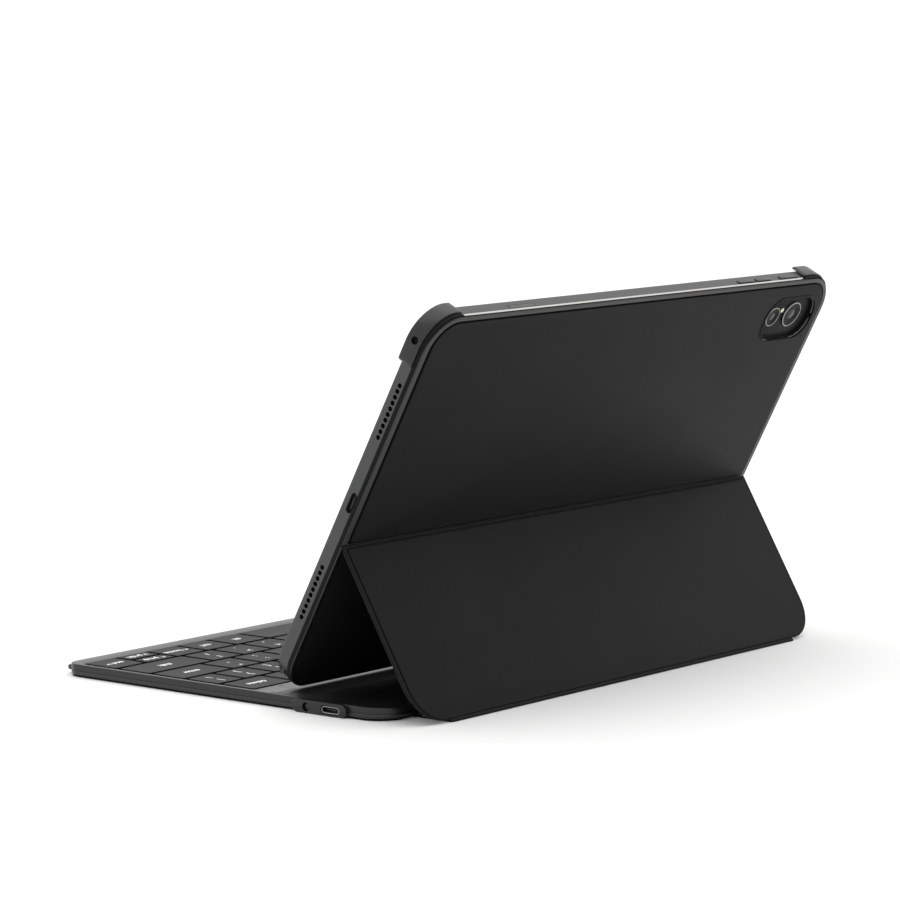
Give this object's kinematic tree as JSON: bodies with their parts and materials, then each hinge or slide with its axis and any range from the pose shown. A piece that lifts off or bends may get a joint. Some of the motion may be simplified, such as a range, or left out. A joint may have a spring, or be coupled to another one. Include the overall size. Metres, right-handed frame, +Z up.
{
  "type": "tablet keyboard case",
  "caption": "Folding tablet case with a back shell, kick panel and flat keyboard base, standing open with a plain tablet seated in it.",
  "frame": {"origin": "centre of the keyboard base's underside", "axes": "+X to the typist's right, +Y away from the typist, +Z up out of the keys"},
  "size_m": [0.2805, 0.201, 0.1636],
  "materials": {
    "coated_leather": "fine grained coated leather, satin",
    "grey_board": "pressed board, hidden",
    "microfibre": "brushed microfibre",
    "shell_plastic": "moulded polycarbonate, satin",
    "deck_plastic": "moulded polycarbonate with a soft metallic paint",
    "plate_steel": "plated sheet steel",
    "dome_silicone": "moulded silicone",
    "circuit_laminate": "glass-epoxy laminate",
    "battery_foil": "laminated foil pouch",
    "magnet_nickel": "nickel-plated magnet",
    "light_pipe": "translucent light pipe",
    "tablet_metal": "anodised, bead blasted",
    "screen_glass": "polished black cover glass",
    "lens_glass": "coated lens",
    "key_plastic": "moulded ABS, fine matte"
  },
  "bodies": {
    "base": {"base_skin": "coated_leather", "base_tray": "shell_plastic", "deck_frame": "deck_plastic", "side_plate": "deck_plastic", "dock_ridge": "deck_plastic", "opening_lip": "shell_plastic", "charging_port": "plate_steel", "key_plate": "plate_steel", "dome_sheet": "dome_silicone", "main_board": "circuit_laminate", "battery": "battery_foil", "dock_magnet_left": "magnet_nickel", "dock_magnet_right": "magnet_nickel", "status_light": "light_pipe"},
    "spine": {"spine_skin": "coated_leather", "spine_board": "grey_board", "spine_lining": "microfibre"},
    "kick_panel": {"kick_skin": "coated_leather", "kick_board": "grey_board", "kick_lining": "microfibre", "foot_strip": "coated_leather"},
    "cover": {"cover_skin": "coated_leather", "cover_board": "grey_board", "back_shell": "shell_plastic", "shell_liner": "microfibre", "camera_trim": "coated_leather"},
    "tablet": {"tablet_body": "tablet_metal", "tablet_core": "circuit_laminate", "tablet_glass": "screen_glass", "camera_plate": "screen_glass", "lens_large": "lens_glass", "lens_small": "lens_glass", "card_tray": "tablet_metal"},
    "volume_up": {"volume_up": "tablet_metal"},
    "volume_down": {"volume_down": "tablet_metal"},
    "power_button": {"power_button": "tablet_metal"},
    "side_button": {"switch_button": "deck_plastic"},
    "key_control_left": {"key_control_left": "key_plastic"},
    "key_function": {"key_function": "key_plastic"},
    "key_option": {"key_option": "key_plastic"},
    "key_command": {"key_command": "key_plastic"},
    "key_space": {"key_space": "key_plastic"},
    "key_alt": {"key_alt": "key_plastic"},
    "key_control_right": {"key_control_right": "key_plastic"},
    "key_arrow_left": {"key_arrow_left": "key_plastic"},
    "key_arrow_up": {"key_arrow_up": "key_plastic"},
    "key_arrow_down": {"key_arrow_down": "key_plastic"},
    "key_arrow_right": {"key_arrow_right": "key_plastic"},
    "key_shift_left": {"key_shift_left": "key_plastic"},
    "key_lower_letters": {"key_lower_letters": "key_plastic"},
    "key_shift_right": {"key_shift_right": "key_plastic"},
    "key_caps_lock": {"key_caps_lock": "key_plastic"},
    "key_home_letters": {"key_home_letters": "key_plastic"},
    "key_enter": {"key_enter": "key_plastic"},
    "key_tab": {"key_tab": "key_plastic"},
    "key_top_letters": {"key_top_letters": "key_plastic"},
    "key_backslash": {"key_backslash": "key_plastic"},
    "key_escape": {"key_escape": "key_plastic"},
    "key_numbers": {"key_numbers": "key_plastic"},
    "key_backspace": {"key_backspace": "key_plastic"}
  },
  "joints": [
    {"name": "base_spine_hinge", "type": "hinge", "parent": "base", "child": "spine", "pos_m": [0, 0.08562, 0], "axis": [-1, 0, 0], "range_deg": [0, 90]},
    {"name": "cover_kick_hinge", "type": "hinge", "parent": "spine", "child": "kick_panel", "pos_m": [0, 0.10462, 0], "axis": [-1, 0, 0], "range_deg": [0, 120]},
    {"name": "cover_fold_hinge", "type": "hinge", "parent": "kick_panel", "child": "cover", "pos_m": [0, 0.0643, 0.06632], "axis": [1, 0, 0], "range_deg": [0, 57.8]},
    {"name": "cover_tablet_release", "type": "slide", "parent": "cover", "child": "tablet", "axis": [0, -0.8867, 0.4624], "range_m": [0, 0.025]},
    {"name": "key_control_left_press", "type": "slide", "parent": "base", "child": "key_control_left", "axis": [0, 0, -1], "range_m": [0, 0.0012], "stiffness_N_per_m": 400, "springref_m": -0.0005},
    {"name": "key_function_press", "type": "slide", "parent": "base", "child": "key_function", "axis": [0, 0, -1], "range_m": [0, 0.0012], "stiffness_N_per_m": 400, "springref_m": -0.0005},
    {"name": "key_option_press", "type": "slide", "parent": "base", "child": "key_option", "axis": [0, 0, -1], "range_m": [0, 0.0012], "stiffness_N_per_m": 400, "springref_m": -0.0005},
    {"name": "key_command_press", "type": "slide", "parent": "base", "child": "key_command", "axis": [0, 0, -1], "range_m": [0, 0.0012], "stiffness_N_per_m": 400, "springref_m": -0.0005},
    {"name": "key_space_press", "type": "slide", "parent": "base", "child": "key_space", "axis": [0, 0, -1], "range_m": [0, 0.0012], "stiffness_N_per_m": 400, "springref_m": -0.0005},
    {"name": "key_alt_press", "type": "slide", "parent": "base", "child": "key_alt", "axis": [0, 0, -1], "range_m": [0, 0.0012], "stiffness_N_per_m": 400, "springref_m": -0.0005},
    {"name": "key_control_right_press", "type": "slide", "parent": "base", "child": "key_control_right", "axis": [0, 0, -1], "range_m": [0, 0.0012], "stiffness_N_per_m": 400, "springref_m": -0.0005},
    {"name": "key_arrow_left_press", "type": "slide", "parent": "base", "child": "key_arrow_left", "axis": [0, 0, -1], "range_m": [0, 0.0012], "stiffness_N_per_m": 400, "springref_m": -0.0005},
    {"name": "key_arrow_up_press", "type": "slide", "parent": "base", "child": "key_arrow_up", "axis": [0, 0, -1], "range_m": [0, 0.0012], "stiffness_N_per_m": 400, "springref_m": -0.0005},
    {"name": "key_arrow_down_press", "type": "slide", "parent": "base", "child": "key_arrow_down", "axis": [0, 0, -1], "range_m": [0, 0.0012], "stiffness_N_per_m": 400, "springref_m": -0.0005},
    {"name": "key_arrow_right_press", "type": "slide", "parent": "base", "child": "key_arrow_right", "axis": [0, 0, -1], "range_m": [0, 0.0012], "stiffness_N_per_m": 400, "springref_m": -0.0005},
    {"name": "key_shift_left_press", "type": "slide", "parent": "base", "child": "key_shift_left", "axis": [0, 0, -1], "range_m": [0, 0.0012], "stiffness_N_per_m": 400, "springref_m": -0.0005},
    {"name": "key_lower_letters_press", "type": "slide", "parent": "base", "child": "key_lower_letters", "axis": [0, 0, -1], "range_m": [0, 0.0012], "stiffness_N_per_m": 400, "springref_m": -0.0005},
    {"name": "key_shift_right_press", "type": "slide", "parent": "base", "child": "key_shift_right", "axis": [0, 0, -1], "range_m": [0, 0.0012], "stiffness_N_per_m": 400, "springref_m": -0.0005},
    {"name": "key_caps_lock_press", "type": "slide", "parent": "base", "child": "key_caps_lock", "axis": [0, 0, -1], "range_m": [0, 0.0012], "stiffness_N_per_m": 400, "springref_m": -0.0005},
    {"name": "key_home_letters_press", "type": "slide", "parent": "base", "child": "key_home_letters", "axis": [0, 0, -1], "range_m": [0, 0.0012], "stiffness_N_per_m": 400, "springref_m": -0.0005},
    {"name": "key_enter_press", "type": "slide", "parent": "base", "child": "key_enter", "axis": [0, 0, -1], "range_m": [0, 0.0012], "stiffness_N_per_m": 400, "springref_m": -0.0005},
    {"name": "key_tab_press", "type": "slide", "parent": "base", "child": "key_tab", "axis": [0, 0, -1], "range_m": [0, 0.0012], "stiffness_N_per_m": 400, "springref_m": -0.0005},
    {"name": "key_top_letters_press", "type": "slide", "parent": "base", "child": "key_top_letters", "axis": [0, 0, -1], "range_m": [0, 0.0012], "stiffness_N_per_m": 400, "springref_m": -0.0005},
    {"name": "key_backslash_press", "type": "slide", "parent": "base", "child": "key_backslash", "axis": [0, 0, -1], "range_m": [0, 0.0012], "stiffness_N_per_m": 400, "springref_m": -0.0005},
    {"name": "key_escape_press", "type": "slide", "parent": "base", "child": "key_escape", "axis": [0, 0, -1], "range_m": [0, 0.0012], "stiffness_N_per_m": 400, "springref_m": -0.0005},
    {"name": "key_numbers_press", "type": "slide", "parent": "base", "child": "key_numbers", "axis": [0, 0, -1], "range_m": [0, 0.0012], "stiffness_N_per_m": 400, "springref_m": -0.0005},
    {"name": "key_backspace_press", "type": "slide", "parent": "base", "child": "key_backspace", "axis": [0, 0, -1], "range_m": [0, 0.0012], "stiffness_N_per_m": 400, "springref_m": -0.0005},
    {"name": "power_button_press", "type": "slide", "parent": "tablet", "child": "power_button", "axis": [0, -0.4624, -0.8867], "range_m": [0, 0.0004], "stiffness_N_per_m": 400, "springref_m": -0.001},
    {"name": "side_button_press", "type": "slide", "parent": "base", "child": "side_button", "axis": [-1, 0, 0], "range_m": [0, 0.0005], "stiffness_N_per_m": 400, "springref_m": -0.001},
    {"name": "volume_down_press", "type": "slide", "parent": "tablet", "child": "volume_down", "axis": [0, -0.4624, -0.8867], "range_m": [0, 0.0004], "stiffness_N_per_m": 400, "springref_m": -0.001},
    {"name": "volume_up_press", "type": "slide", "parent": "tablet", "child": "volume_up", "axis": [0, -0.4624, -0.8867], "range_m": [0, 0.0004], "stiffness_N_per_m": 400, "springref_m": -0.001}
  ],
  "couplings": [
    {"joint": "cover_fold_hinge", "follows": "cover_kick_hinge", "ratio": 0.4816}
  ]
}
